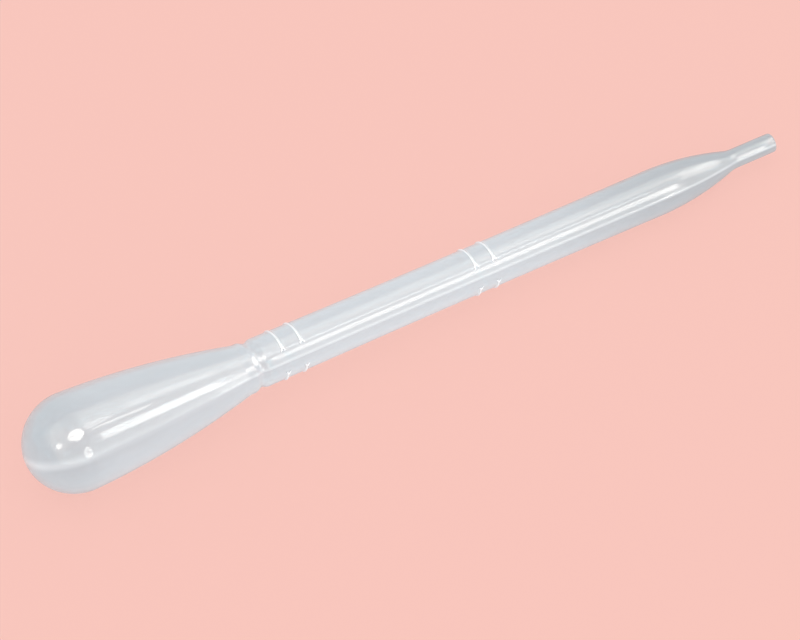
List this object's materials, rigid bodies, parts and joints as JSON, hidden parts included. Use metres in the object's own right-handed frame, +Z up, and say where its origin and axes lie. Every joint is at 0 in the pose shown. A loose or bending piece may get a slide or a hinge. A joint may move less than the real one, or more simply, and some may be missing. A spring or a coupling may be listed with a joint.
{
  "type": "dropper pipette",
  "caption": "Blow-moulded translucent plastic squeeze dropper: round-ended bulb, necked collar, ring-marked barrel, curved nose and narrow open tip.",
  "frame": {"origin": "on the surface the pipette lies on, at the middle of its footprint", "axes": "+X along the pipette towards the open tip, which dips a little as it rests on bulb and nose; +Z up"},
  "size_m": [0.1228, 0.014, 0.014],
  "materials": {
    "polyethylene": "natural translucent polyethylene, satin, with soft sheen"
  },
  "bodies": {
    "root": {"pipette": "polyethylene"}
  },
  "joints": []
}
